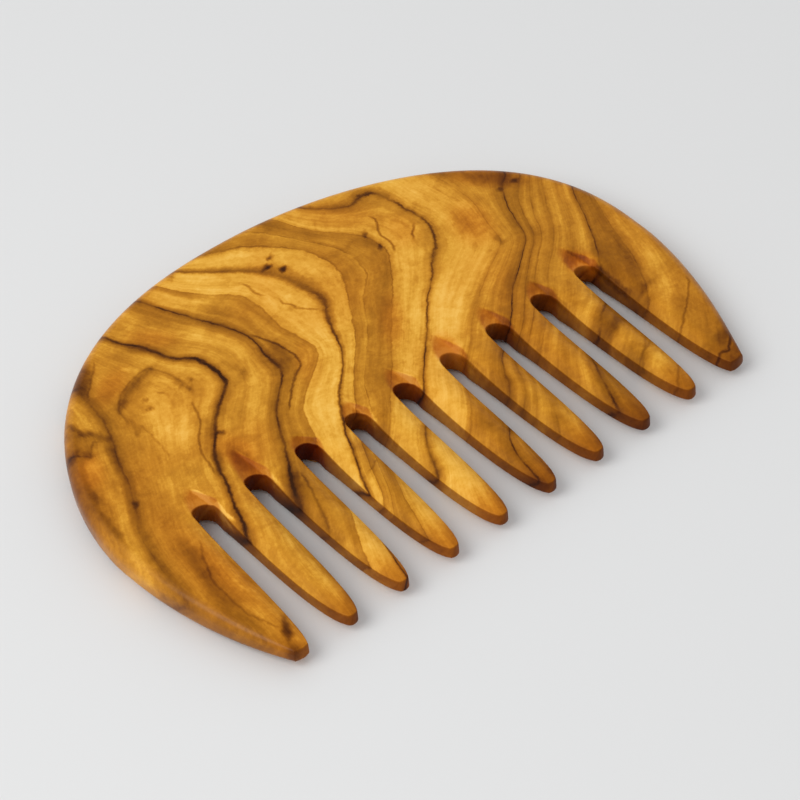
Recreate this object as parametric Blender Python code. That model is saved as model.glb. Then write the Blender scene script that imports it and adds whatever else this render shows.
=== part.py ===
"""Wide-tooth comb, sawn, filed and sanded from one board of olive wood.

The comb lies flat. X runs along the row of teeth, +Y towards the curved back, -Y towards the
tooth tips and +Z up through the board. The origin is under the middle of the comb, on the
plane it rests on. All lengths are in metres.
"""
import math

import bmesh
import bpy
import numpy as np

# Board
LENGTH = 0.1438
WIDTH = 0.1066
THICKNESS = 0.0076

# Outline: a rounded back over flanks that draw in from the shoulders towards the end teeth
SHOULDER_HEIGHT = 0.0048
FLANK_REACH = 0.0967
BACK_ROUNDNESS = 2.17
FLANK_ROUNDNESS = 1.76
BACK_WANDER = 0.00097
EDGE_INSET = 0.0026
EDGE_DROP = 0.0028

# Tooth row
TOOTH_COUNT = 10
PITCH = 0.0130
TOOTH_LENGTH = 0.0412
TOOTH_LEAN = 0.0012
TIP_RETURN = 0.0005
TIP_RETURN_POWER = 6
SLOT_WIDTH = 0.0051
SLOT_ARCH_RISE = 0.0012
SLOT_ARCH_ROUNDNESS = 1.4
SLOT_ROW_BOW = 0.0013

# Tooth plan
TIP_HALF_WIDTH = 0.00055
TIP_NOSE = 0.0003
END_TIP_HALF_WIDTH = 0.0014
LEAF_FULLNESS = 3.3
END_LEAF_FULLNESS = 3.4
ARRIS_INSET = 0.00035
ARRIS_DROP = 0.0003

# Tooth thickness and the crown across each tooth
TIP_THICKNESS = 0.0031
THINNING_POWER = 2.5
CROWN_DROP = 0.00236
CROWN_RUN = 0.0070
CROWN_POWER = 2.3

# Notches filed at the slots' ends, from the first slot to the last
NOTCH_DEPTH = 0.0013
NOTCH_TOP_OFFSET = 0.0018
NOTCH_TOP_SHARES = (0.67, 0.83, 0.22, 0.89, 0.67, 1.0, 1.0, 1.11, 0.56)
NOTCH_LEAD = 0.0060
NOTCH_LEAD_SHARES = (0.93, 1.5, 0.63, 0.77, 1.0, 1.2, 1.1, 0.83, 1.3)
NOTCH_RUN = 0.0060
NOTCH_RADIUS = 0.0100
NOTCH_SIDE_SLOPE = 1.2
NOTCH_BLEND = 0.00015

# Facets: where the surface is divided, as shares of each stretch
TOOTH_ACROSS_SHARES = (0.0, 0.06, 0.14, 0.30, 0.50, 0.70, 0.88, 1.0)
TOOTH_ALONG_SHARES = (0.0, 0.02, 0.06, 0.13, 0.23, 0.37, 0.52, 0.67, 0.80, 0.90, 0.96, 1.0)
SLOT_ARCH_SHARES = (0.0, 0.12, 0.25, 0.375, 0.5, 0.625, 0.75, 0.88, 1.0)
FLANK_UP_SHARES = (0.0, 0.22, 0.46, 0.72, 1.0)
BACK_UP_SHARES = (0.0, 0.04, 0.09, 1.0)
EDGE_TURN_SHARES = (0.0, 0.34, 0.67, 1.0)
COPLANAR_ANGLE = math.radians(0.05)
SMOOTH_ANGLE = math.radians(35.0)

# Oiled olive wood
WOOD_COLOUR = (0.55, 0.27, 0.065, 1.0)
WOOD_ROUGHNESS = 0.42

TIP_LINE = -WIDTH / 2
SLOT_LINE = TIP_LINE + TOOTH_LENGTH
WIDEST_LINE = SLOT_LINE + SHOULDER_HEIGHT
BACK_LINE = WIDTH / 2
HALF_LENGTH = LENGTH / 2
HALF_THICKNESS = THICKNESS / 2
LAST_TOOTH = TOOTH_COUNT - 1


def tooth_centre(tooth):
    """Middle of a tooth: the teeth stand one pitch apart, evenly about the middle of the comb."""
    return (tooth - LAST_TOOTH / 2) * PITCH


def slot_end(slot):
    """Height of the end wall of a slot: a shallow bow, so the outer slots stop nearer the back."""
    middle = (LAST_TOOTH - 1) / 2
    return SLOT_LINE + SLOT_ROW_BOW * ((slot - middle) / middle) ** 2


def flank_x(y):
    """Half-length of the outline at height y: a superellipse above the widest line, a slimmer one below."""
    above = np.clip((y - WIDEST_LINE) / (BACK_LINE - WIDEST_LINE), 0.0, 1.0)
    below = np.clip((WIDEST_LINE - y) / FLANK_REACH, 0.0, 1.0)
    back = (1.0 - above ** BACK_ROUNDNESS) ** (1 / BACK_ROUNDNESS)
    flank = (1.0 - below ** FLANK_ROUNDNESS) ** (1 / FLANK_ROUNDNESS)
    return HALF_LENGTH * np.minimum(back, flank)


def back_curve(turns):
    """Points on the back for turns from -1 at the left flank to 1 at the right.

    They lie on the upper superellipse, moved in and out along it by the sine of four times the
    angle, as the hand-sawn back wanders a little from the true curve.
    """
    angle = turns * math.pi / 2
    across = np.sign(turns) * np.abs(np.sin(angle)) ** (2 / BACK_ROUNDNESS)
    up = np.abs(np.cos(angle)) ** (2 / BACK_ROUNDNESS)
    grow = 1.0 - BACK_WANDER / HALF_LENGTH * np.sin(4 * angle)
    height = (BACK_LINE - WIDEST_LINE) * up
    return np.stack([HALF_LENGTH * across * grow, WIDEST_LINE + height * grow], axis=-1)


def tooth_half_width(depth_share, end_tooth):
    """Half-width of a tooth, from its root at share 0 to its tip at 1: a leaf, full and then quickly drawn in."""
    tip = END_TIP_HALF_WIDTH if end_tooth else TIP_HALF_WIDTH
    fullness = END_LEAF_FULLNESS if end_tooth else LEAF_FULLNESS
    root = (PITCH - SLOT_WIDTH) / 2
    return tip + (root - tip) * np.sqrt(1.0 - np.clip(depth_share, 0.0, 1.0) ** fullness)


def tooth_flank(tooth, side, y):
    """The wall of a tooth on one side (-1 left, 1 right) at heights y; an end tooth's outer wall is the outline."""
    if (tooth == 0 and side < 0) or (tooth == LAST_TOOTH and side > 0):
        return side * flank_x(y)
    slot = tooth if side > 0 else tooth - 1
    share = (slot_end(slot) - y) / (slot_end(slot) - TIP_LINE)
    return tooth_centre(tooth) + side * tooth_half_width(share, tooth in (0, LAST_TOOTH))


def sanded_surface(x, y):
    """Half the thickness left by sanding, at points of the face.

    The board is level, and thins along each tooth by a power of the depth below the slot line.
    Across a tooth it is crowned: it falls by a power of the share of the way from the tooth's
    middle to its wall, to an arris that drops quickly below the slot's end and then levels out.
    An end tooth is crowned only towards its slot.
    """
    below = np.clip((SLOT_LINE - y) / TOOTH_LENGTH, 0.0, 1.0)
    level = HALF_THICKNESS - (HALF_THICKNESS - TIP_THICKNESS / 2) * below ** THINNING_POWER
    tooth = np.clip(np.rint(x / PITCH + LAST_TOOTH / 2), 0, LAST_TOOTH)
    off = x - tooth_centre(tooth)
    slot = np.clip(np.where(off > 0, tooth, tooth - 1), 0, LAST_TOOTH - 1)
    run = np.clip(slot_end(slot) - y, 0.0, None)
    share = run / (slot_end(slot) - TIP_LINE)
    end_tooth = (tooth == 0) | (tooth == LAST_TOOTH)
    half = np.where(end_tooth, tooth_half_width(share, True), tooth_half_width(share, False))
    outer = end_tooth & (off * (tooth - LAST_TOOTH / 2) > 0)
    arris = HALF_THICKNESS - CROWN_DROP * (1.0 - np.exp(-run / CROWN_RUN))
    fall = np.where(outer, 0.0, np.clip(level - arris, 0.0, None))
    return level - fall * np.clip(np.abs(off) / half, 0.0, 1.0) ** CROWN_POWER


def filed_notches(x, y):
    """Half the thickness left by the notch filed at each slot's end.

    Its axis runs from the notch's top down to the slot's right-hand wall and on along it, and its
    depth grows in a straight line to the slot's end and dies away below. Across the axis it rises
    as a wide parabola on the left and as a steep straight side on the right.
    """
    notch = np.full_like(x, THICKNESS)
    for slot, (top_share, lead_share) in enumerate(zip(NOTCH_TOP_SHARES, NOTCH_LEAD_SHARES)):
        middle = (tooth_centre(slot) + tooth_centre(slot + 1)) / 2
        beyond = y - slot_end(slot)
        share = np.clip(-beyond, 0.0, None) / (slot_end(slot) - TIP_LINE)
        wall = tooth_centre(slot + 1) - tooth_half_width(share, slot + 1 == LAST_TOOTH)
        up = np.clip(beyond / (NOTCH_LEAD * lead_share), 0.0, None)
        off = x - (wall + (middle + NOTCH_TOP_OFFSET * top_share - wall) * up)
        depth = np.where(beyond > 0.0, 1.0 - up, np.exp(-(beyond / NOTCH_RUN) ** 2))
        rise = np.where(off < 0.0, off ** 2 / (2 * NOTCH_RADIUS), NOTCH_SIDE_SLOPE * off)
        filed = HALF_THICKNESS - NOTCH_DEPTH * depth + rise
        notch = np.where(off > -PITCH / 2, np.minimum(notch, filed), notch)
    return notch


def half_thickness(x, y):
    """Half the thickness of the finished board: the lower of sanded surface and notches, slightly blended."""
    sanded, notch = sanded_surface(x, y), filed_notches(x, y)
    overlap = np.clip(NOTCH_BLEND - np.abs(sanded - notch), 0.0, None)
    return np.minimum(sanded, notch) - overlap ** 2 / (4 * NOTCH_BLEND)


def vertex_numbers():
    """Numbers of the face's vertices: one grid for the back and one for each tooth, which share their roots."""
    across = len(TOOTH_ACROSS_SHARES) - 1
    slot_across = len(SLOT_ARCH_SHARES) - 1
    columns = TOOTH_COUNT * across + LAST_TOOTH * slot_across + 1
    levels = len(FLANK_UP_SHARES) + len(BACK_UP_SHARES) - 1
    back = np.arange(levels * columns).reshape(levels, columns)
    count = back.size
    teeth, starts = [], []
    rows = len(TOOTH_ALONG_SHARES) - 1
    for tooth in range(TOOTH_COUNT):
        start = tooth * (across + slot_across)
        own = np.arange(count, count + rows * (across + 1)).reshape(rows, across + 1)
        count += own.size
        teeth.append(np.vstack([own, back[0, start:start + across + 1]]))
        starts.append(start)
    return back, teeth, starts, count


def slot_end_row(slot):
    """The round end of a slot from its left wall to its right: half a superellipse."""
    turns = np.array(SLOT_ARCH_SHARES) * math.pi
    across = -np.sign(np.cos(turns)) * np.abs(np.cos(turns)) ** (2 / SLOT_ARCH_ROUNDNESS)
    up = np.sin(turns).clip(0.0) ** (2 / SLOT_ARCH_ROUNDNESS)
    middle = (tooth_centre(slot) + tooth_centre(slot + 1)) / 2
    return np.stack([middle + SLOT_WIDTH / 2 * across, slot_end(slot) + SLOT_ARCH_RISE * up], axis=-1)


def tooth_wall(tooth, side):
    """One wall of a tooth from tip to root, where the round end of the slot begins."""
    outer = (tooth == 0 and side < 0) or (tooth == LAST_TOOTH and side > 0)
    nearest = 0 if tooth == 0 else LAST_TOOTH - 1
    slot = nearest if outer else (tooth if side > 0 else tooth - 1)
    foot = TIP_LINE + TIP_NOSE
    y = foot + (slot_end(slot) - foot) * np.array(TOOTH_ALONG_SHARES)
    return np.stack([tooth_flank(tooth, side, y), y], axis=-1)


def tooth_tip(tooth):
    """The blunt end of a tooth from left to right: a shallow parabola down to the tip line."""
    ends = [tooth_wall(tooth, side)[0] for side in (-1, 1)]
    shares = np.array(TOOTH_ACROSS_SHARES)
    x = ends[0][0] + (ends[1][0] - ends[0][0]) * shares
    return np.stack([x, TIP_LINE + TIP_NOSE * (2 * shares - 1.0) ** 2], axis=-1)


def back_row():
    """The back from the right flank to the left, one point for each column of the grid."""
    columns = root_row()[:, 0] / HALF_LENGTH
    return back_curve(np.clip(columns / abs(columns[0]), -1.0, 1.0))[::-1]


def root_row():
    """The lowest row of the back's grid, from the left flank to the right, along roots and slot ends."""
    row = []
    for tooth in range(TOOTH_COUNT):
        left, right = tooth_wall(tooth, -1)[-1], tooth_wall(tooth, 1)[-1]
        shares = np.array(TOOTH_ACROSS_SHARES)[:, None]
        row.append(left + (right - left) * shares)
        if tooth < LAST_TOOTH:
            row.append(slot_end_row(tooth)[1:-1])
    return np.concatenate(row)


def flank_column(side):
    """The short stretch of flank between the root row and the widest line, from the bottom up."""
    foot = tooth_wall(0 if side < 0 else LAST_TOOTH, side)[-1, 1]
    y = foot + (WIDEST_LINE - foot) * np.array(FLANK_UP_SHARES)
    return np.stack([side * flank_x(y), y], axis=-1)


def walk_round(back, teeth, starts):
    """The comb's edge as one closed walk, anticlockwise from the left end tooth: vertex, place and kind."""
    numbers, places, kinds = [], [], []

    def add(run, points, outer):
        numbers.extend(run)
        places.extend(points)
        kinds.extend([outer] * len(run))

    for tooth in range(TOOTH_COUNT):
        own = teeth[tooth]
        if tooth > 0:
            add(own[:0:-1, 0], tooth_wall(tooth, -1)[:0:-1], False)
        add(own[0], tooth_tip(tooth), False)
        if tooth < LAST_TOOTH:
            add(own[1:-1, -1], tooth_wall(tooth, 1)[1:-1], False)
            first = starts[tooth] + len(TOOTH_ACROSS_SHARES) - 1
            last = starts[tooth + 1]
            add(back[0, first:last], slot_end_row(tooth)[:-1], False)
    add(teeth[-1][1:, -1], tooth_wall(LAST_TOOTH, 1)[1:], True)
    widest = len(FLANK_UP_SHARES) - 1
    add(back[1:widest, -1], flank_column(1)[1:-1], True)
    add(back[-1, ::-1], back_row(), True)
    add(back[widest - 1:0:-1, 0], flank_column(-1)[-2:0:-1], True)
    add(teeth[0][:0:-1, 0], tooth_wall(0, -1)[:0:-1], True)
    return np.array(numbers), np.array(places), np.array(kinds)


def outward(places):
    """Unit outward directions along the closed walk: each one square to the line between its neighbours."""
    along = np.roll(places, -1, axis=0) - np.roll(places, 1, axis=0)
    square = np.stack([along[:, 1], -along[:, 0]], axis=-1)
    return square / np.linalg.norm(square, axis=1, keepdims=True)


def fill_patch(bottom, top, left, right, across, up):
    """Coons patch: the blend of both pairs of opposite edges, less the blend of the four corners."""
    u, v = across[None, :, None], up[:, None, None]
    rows = (1 - v) * bottom[None] + v * top[None]
    columns = (1 - u) * left[:, None] + u * right[:, None]
    corners = ((1 - v) * ((1 - u) * bottom[0] + u * bottom[-1])
               + v * ((1 - u) * top[0] + u * top[-1]))
    return rows + columns - corners


def face_plan(back, teeth, count, numbers, inner):
    """Plan positions of all the face's vertices: the inset edge, and patches filled in between.

    The back has two patches, which meet on a straight line between its two widest points.
    """
    plan = np.zeros((count, 2))
    plan[numbers] = inner
    for own in teeth:
        first, last = plan[own[-1, 0]], plan[own[-1, -1]]
        plan[own[-1]] = first + (last - first) * np.array(TOOTH_ACROSS_SHARES)[:, None]
        plan[own[1:-1, 1:-1]] = fill_patch(
            plan[own[0]], plan[own[-1]], plan[own[:, 0]], plan[own[:, -1]],
            np.array(TOOTH_ACROSS_SHARES), np.array(TOOTH_ALONG_SHARES))[1:-1, 1:-1]
    across = (plan[back[0], 0] - plan[back[0, 0], 0]) / (plan[back[0, -1], 0] - plan[back[0, 0], 0])
    widest = len(FLANK_UP_SHARES) - 1
    first, last = plan[back[-1, 0]], plan[back[-1, -1]]
    plan[back[widest]] = first + (last - first) * across[:, None]
    plan[back[1:widest, 1:-1]] = fill_patch(
        plan[back[0]], plan[back[widest]], plan[back[:widest + 1, 0]], plan[back[:widest + 1, -1]],
        across, np.array(FLANK_UP_SHARES))[1:-1, 1:-1]
    up = np.array(BACK_UP_SHARES)[:, None, None]
    plan[back[widest:]] = (1 - up) * plan[back[widest]][None] + up * plan[back[-1]][None]
    return plan


def edge_profile(outer):
    """Shares of inset and drop down the edge, from the face to mid-thickness: a quarter round or a small bevel."""
    turns = np.array(EDGE_TURN_SHARES) * math.pi / 2
    if outer:
        return 1.0 - np.sin(turns), 1.0 - np.cos(turns)
    return np.clip(1.0 - np.ceil(turns), 0.0, 1.0), np.clip(np.ceil(turns), 0.0, 1.0)


def grid_quads(grid):
    """Quads between the neighbouring numbers of a grid, facing up when columns run +X and rows run +Y."""
    return np.stack([grid[:-1, :-1], grid[:-1, 1:], grid[1:, 1:], grid[1:, :-1]], axis=-1).reshape(-1, 4)


def comb_mesh():
    """The whole comb as one closed surface: upper face, mirrored lower face, and the edge carried round them.

    The teeth lean a little to the left: each point moves in proportion to its depth below the
    slot line, less a high power of that depth that brings the tips back. The middle of the whole
    then goes to the origin.
    """
    back, teeth, starts, count = vertex_numbers()
    numbers, places, kinds = walk_round(back, teeth, starts)
    normals = outward(places)
    at_edge = half_thickness(places[:, 0], places[:, 1])
    fullness = at_edge / HALF_THICKNESS
    inset = np.where(kinds, EDGE_INSET, ARRIS_INSET) * fullness
    drop = np.where(kinds, EDGE_DROP, ARRIS_DROP) * fullness
    inner = places - normals * inset[:, None]
    plan = face_plan(back, teeth, count, numbers, inner)
    height = half_thickness(plan[:, 0], plan[:, 1])

    upper = np.column_stack([plan, HALF_THICKNESS + height])
    lower = np.column_stack([plan, HALF_THICKNESS - height])
    rim_height = height[numbers]
    outer_steps, inner_steps = edge_profile(True), edge_profile(False)
    rows = []
    for step in range(1, len(EDGE_TURN_SHARES)):
        inward = np.where(kinds, outer_steps[0][step], inner_steps[0][step]) * inset
        down = np.where(kinds, outer_steps[1][step], inner_steps[1][step]) * drop
        rows.append((places - normals * inward[:, None], rim_height - down))
    rim = [np.column_stack([xy, HALF_THICKNESS + z]) for xy, z in rows]
    rim += [np.column_stack([xy, HALF_THICKNESS - z]) for xy, z in rows[::-1]]

    points = np.concatenate([upper, lower] + rim)
    depth = np.clip((SLOT_LINE - points[:, 1]) / TOOTH_LENGTH, 0.0, 1.0)
    points[:, 0] -= TOOTH_LEAN * depth - TIP_RETURN * depth ** TIP_RETURN_POWER
    points[:, :2] -= (points[:, :2].min(axis=0) + points[:, :2].max(axis=0)) / 2
    loop = len(numbers)
    wall = [numbers] + [2 * count + step * loop + np.arange(loop) for step in range(len(rim))]
    wall.append(numbers + count)
    wall = np.array([np.append(row, row[0]) for row in wall])[::-1]
    face = np.concatenate([grid_quads(back)] + [grid_quads(own) for own in teeth])
    quads = np.concatenate([face, face[:, ::-1] + count, grid_quads(wall)])
    return points, quads


def olive_wood():
    """Oiled olive wood: honey coloured, with the low sheen of a rubbed finish."""
    material = bpy.data.materials.new("olive_wood")
    material.use_nodes = True
    shader = material.node_tree.nodes["Principled BSDF"]
    shader.inputs["Base Color"].default_value = WOOD_COLOUR
    shader.inputs["Roughness"].default_value = WOOD_ROUGHNESS
    shader.inputs["Metallic"].default_value = 0.0
    return material


def build_comb():
    """Builds the comb: its surface is worked out first, then flat ground is joined into large faces."""
    points, quads = comb_mesh()
    mesh = bpy.data.meshes.new("comb")
    mesh.from_pydata(points.tolist(), [], quads.tolist())
    work = bmesh.new()
    work.from_mesh(mesh)
    bmesh.ops.remove_doubles(work, verts=work.verts, dist=ARRIS_DROP / len(points))
    bmesh.ops.dissolve_limit(work, angle_limit=COPLANAR_ANGLE, verts=work.verts, edges=work.edges)
    bmesh.ops.triangulate(work, faces=[face for face in work.faces if len(face.verts) > 4])
    work.to_mesh(mesh)
    work.free()
    mesh.shade_smooth()
    mesh.set_sharp_from_angle(angle=SMOOTH_ANGLE)
    comb = bpy.data.objects.new("comb", mesh)
    comb.data.materials.append(olive_wood())
    bpy.context.scene.collection.objects.link(comb)


for leftover in list(bpy.data.objects):
    bpy.data.objects.remove(leftover, do_unlink=True)
build_comb()
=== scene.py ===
"""Wide-tooth comb of olive wood, lying on a plain pale floor.

Lengths are in metres unless a name says otherwise, in the same frame as the CAD: X runs along
the row of teeth, +Y from the tooth tips towards the back, +Z up through the board.
"""
import math

import bmesh
import bpy
import numpy as np
from mathutils import Matrix, Vector


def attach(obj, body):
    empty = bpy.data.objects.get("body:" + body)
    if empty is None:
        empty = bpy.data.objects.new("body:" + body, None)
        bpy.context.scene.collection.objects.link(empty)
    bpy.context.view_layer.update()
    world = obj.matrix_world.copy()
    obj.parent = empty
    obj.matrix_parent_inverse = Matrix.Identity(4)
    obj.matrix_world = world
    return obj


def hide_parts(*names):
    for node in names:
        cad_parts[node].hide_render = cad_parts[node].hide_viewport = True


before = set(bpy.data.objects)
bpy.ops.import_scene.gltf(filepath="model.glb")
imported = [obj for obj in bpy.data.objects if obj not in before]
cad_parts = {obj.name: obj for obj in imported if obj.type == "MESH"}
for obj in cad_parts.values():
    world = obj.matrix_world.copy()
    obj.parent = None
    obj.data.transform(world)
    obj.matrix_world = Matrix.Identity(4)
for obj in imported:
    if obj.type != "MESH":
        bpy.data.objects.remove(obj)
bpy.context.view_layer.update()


# Camera: at the photograph's viewing angle, above the comb and off its lower left corner, with
# the same slight roll and the same field of view.
CAMERA_PLACE = (-0.24532, -0.36435, 0.42091)
CAMERA_AZIMUTH = math.radians(-34.746)
CAMERA_ELEVATION = math.radians(44.207)
CAMERA_ROLL = math.radians(-6.487)
CAMERA_NEAR_LIMIT = 0.01
LENS_MM = 127.42

camera = bpy.data.objects.new("camera", bpy.data.cameras.new("camera"))
camera.data.lens = LENS_MM
camera.data.clip_start = CAMERA_NEAR_LIMIT
camera.matrix_world = (Matrix.Translation(CAMERA_PLACE)
                       @ Matrix.Rotation(CAMERA_AZIMUTH, 4, "Z")
                       @ Matrix.Rotation(math.pi / 2 - CAMERA_ELEVATION, 4, "X")
                       @ Matrix.Rotation(CAMERA_ROLL, 4, "Z"))
bpy.context.scene.collection.objects.link(camera)
bpy.context.scene.camera = camera


# Comb: one board of olive wood. The outline and slots are sawn, a notch is filed into both faces
# at each slot's end, and all edges are rounded with sandpaper before the whole is oiled.
LENGTH = 0.1438
WIDTH = 0.1066
THICKNESS = 0.0076
SHOULDER_HEIGHT = 0.0048
FLANK_REACH = 0.0967
BACK_ROUNDNESS = 2.17
FLANK_ROUNDNESS = 1.76
BACK_WANDER = 0.00097

# Teeth, and the slots between them
TOOTH_COUNT = 10
PITCH = 0.0130
TOOTH_LENGTH = 0.0412
TOOTH_LEAN = 0.0012
TIP_RETURN = 0.0005
TIP_RETURN_POWER = 6
TIP_HALF_WIDTH = 0.00055
END_TIP_HALF_WIDTH = 0.0014
TIP_NOSE = 0.0003
LEAF_FULLNESS = 3.3
END_LEAF_FULLNESS = 3.4
TIP_THICKNESS = 0.0031
THINNING_POWER = 2.5
CROWN_DROP = 0.00236
CROWN_RUN = 0.0070
CROWN_POWER = 2.3
SLOT_WIDTH = 0.0051
SLOT_ROW_BOW = 0.0013
SLOT_CORNER_DROP = 0.0010
SLOT_ARCH_RISES = (0.0008, 0.0009, 0.0011, 0.0012, 0.0013, 0.0015, 0.0014, 0.0012, 0.0010)
SLOT_ARCH_ROUNDNESS = 2.1
SLOT_LEAN = 0.0019
SLOT_LEAN_REACH = 0.0050

# Notches, filed at the slots' ends
NOTCH_DEPTH = 0.0013
NOTCH_TOPS = (0.0012, 0.0015, 0.0004, 0.0016, 0.0012, 0.0018, 0.0018, 0.0020, 0.0010)
NOTCH_LEADS = (0.0056, 0.0090, 0.0038, 0.0046, 0.0060, 0.0072, 0.0066, 0.0050, 0.0078)
NOTCH_RUN = 0.0060
NOTCH_RADIUS = 0.0100
NOTCH_SIDE_SLOPE = 1.2
NOTCH_BLEND = 0.00015

# Rounded outer edge, and the narrow arris along the slots
EDGE_INSET = 0.0026
EDGE_DROP = 0.0028
ARRIS_INSET = 0.00040
ARRIS_DROP = 0.00045
TIP_ROUNDING_REACH = 0.0030
TIP_EXTRA_DROP = 0.0006

# Darkening of the walls, partly oil soaked up by the end grain and partly painted shade in the
# slots: at each slot's end, and further down
SLOT_SOAK_AND_SHADES = (0.70, 0.90, 1.0, 0.75, 0.90, 0.42, 0.68, 0.72, 0.32)
WALL_SOAK_AND_SHADE = 0.62
SOAK_AND_SHADE_REACH = 0.0062

TIP_LINE = -WIDTH / 2
SLOT_LINE = TIP_LINE + TOOTH_LENGTH
WIDEST_LINE = SLOT_LINE + SHOULDER_HEIGHT
BACK_LINE = WIDTH / 2
HALF_LENGTH = LENGTH / 2
HALF_THICKNESS = THICKNESS / 2
LAST_TOOTH = TOOTH_COUNT - 1
LAST_SLOT = LAST_TOOTH - 1

# How finely each stretch is divided: closer where the form turns most, at a tooth's two ends and
# beside the widest line. The edge has steps down it, and turns to arris over some steps along it.
TOOTH_ACROSS = np.linspace(0.0, 1.0, 17)
TOOTH_ALONG = 0.5 - 0.5 * np.cos(math.pi * np.linspace(0.0, 1.0, 57) ** 0.8)
SLOT_ARCH = np.linspace(0.0, 1.0, 13)
FLANK_UP = np.linspace(0.0, 1.0, 11)
BACK_UP = np.linspace(0.0, 1.0, 79) ** 1.1
EDGE_STEPS = 6
ARRIS_STEPS = 3
MIDDLE_GAP_STEPS = 0.5
TURN_TO_ARRIS_STEPS = 10
ROOT_COLUMNS = len(TOOTH_ACROSS) - 1
PITCH_COLUMNS = ROOT_COLUMNS + len(SLOT_ARCH) - 1


def tooth_centre(tooth):
    """Middle of a tooth: the teeth stand one pitch apart, evenly about the middle of the comb."""
    return (tooth - LAST_TOOTH / 2) * PITCH


def slot_middle(slot):
    """Middle of a slot, halfway between the two teeth beside it."""
    return (tooth_centre(slot) + tooth_centre(slot + 1)) / 2


def slot_end(slot):
    """Where a slot ends: on a shallow parabola, so the outer slots stop nearer the back."""
    middle = LAST_SLOT / 2
    return SLOT_LINE + SLOT_ROW_BOW * ((slot - middle) / middle) ** 2


def slot_corner(slot):
    """Where a slot's walls give way to its round end: a little short of the slot's end."""
    return slot_end(slot) - SLOT_CORNER_DROP


def is_outer(tooth, side):
    """Whether a side of a tooth, -1 or 1, is the outer side of an end tooth."""
    return (tooth == 0 and side < 0) or (tooth == LAST_TOOTH and side > 0)


def slot_beside(tooth, side):
    """The slot on one side of a tooth, or the nearest one where that side is an outer one."""
    return min(max(tooth if side > 0 else tooth - 1, 0), LAST_SLOT)


def depth_below(y):
    """Share of the way from the slot line, at 0, to the tooth tips, at 1."""
    return np.clip((SLOT_LINE - y) / TOOTH_LENGTH, 0.0, 1.0)


def tooth_lean(y):
    """How far left the teeth lean at height y: in proportion to depth, less a power of it."""
    depth = depth_below(y)
    return TOOTH_LEAN * depth - TIP_RETURN * depth ** TIP_RETURN_POWER


def flank_x(y):
    """Half-length of the outline at height y: a superellipse above the widest line, and a
    slimmer one below it."""
    above = np.clip((y - WIDEST_LINE) / (BACK_LINE - WIDEST_LINE), 0.0, 1.0)
    below = np.clip((WIDEST_LINE - y) / FLANK_REACH, 0.0, 1.0)
    back = (1.0 - above ** BACK_ROUNDNESS) ** (1 / BACK_ROUNDNESS)
    flank = (1.0 - below ** FLANK_ROUNDNESS) ** (1 / FLANK_ROUNDNESS)
    return HALF_LENGTH * np.minimum(back, flank)


def back_curve(turns):
    """Points on the back for turns from -1 to 1: a superellipse, moved in and out by the sine of
    four times the angle."""
    angle = turns * math.pi / 2
    across = np.sign(turns) * np.abs(np.sin(angle)) ** (2 / BACK_ROUNDNESS)
    up = np.abs(np.cos(angle)) ** (2 / BACK_ROUNDNESS)
    grow = 1.0 - BACK_WANDER / HALF_LENGTH * np.sin(4 * angle)
    height = (BACK_LINE - WIDEST_LINE) * up
    return np.stack([HALF_LENGTH * across * grow, WIDEST_LINE + height * grow], axis=-1)


def tooth_half_width(depth_share, end_tooth):
    """Half-width of a tooth, from its root at share 0 to its tip at 1: a leaf, which narrows by
    the root of one less a power of the share, so it is full and then quickly drawn in."""
    tip = END_TIP_HALF_WIDTH if end_tooth else TIP_HALF_WIDTH
    fullness = END_LEAF_FULLNESS if end_tooth else LEAF_FULLNESS
    root = (PITCH - SLOT_WIDTH) / 2
    return tip + (root - tip) * np.sqrt(1.0 - np.clip(depth_share, 0.0, 1.0) ** fullness)


def tooth_flank(tooth, side, y):
    """The wall of a tooth on one side at heights y: its leaf, or the comb's outline on an outer
    side."""
    if is_outer(tooth, side):
        return side * flank_x(y)
    end = slot_end(slot_beside(tooth, side))
    share = (end - y) / (end - TIP_LINE)
    return tooth_centre(tooth) + side * tooth_half_width(share, tooth in (0, LAST_TOOTH))


def sanded_surface(x, y):
    """Half the thickness left by sanding, at points of the face.

    The board is level, and thins along each tooth by a power of the depth below the slot line.
    Across a tooth it is crowned: it falls by a power of the share of the way from the tooth's
    middle to its wall, to an arris that drops quickly below the slot's end and then levels out.
    """
    level = HALF_THICKNESS - (HALF_THICKNESS - TIP_THICKNESS / 2) * depth_below(y) ** THINNING_POWER
    tooth = np.clip(np.rint(x / PITCH + LAST_TOOTH / 2), 0, LAST_TOOTH)
    off = x - tooth_centre(tooth)
    slot = np.clip(np.where(off > 0, tooth, tooth - 1), 0, LAST_SLOT)
    run = np.clip(slot_end(slot) - y, 0.0, None)
    share = run / (slot_end(slot) - TIP_LINE)
    end_tooth = (tooth == 0) | (tooth == LAST_TOOTH)
    half = np.where(end_tooth, tooth_half_width(share, True), tooth_half_width(share, False))
    outer = end_tooth & (off * (tooth - LAST_TOOTH / 2) > 0)
    arris = HALF_THICKNESS - CROWN_DROP * (1.0 - np.exp(-run / CROWN_RUN))
    fall = np.where(outer, 0.0, np.clip(level - arris, 0.0, None))
    return level - fall * np.clip(np.abs(off) / half, 0.0, 1.0) ** CROWN_POWER


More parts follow.
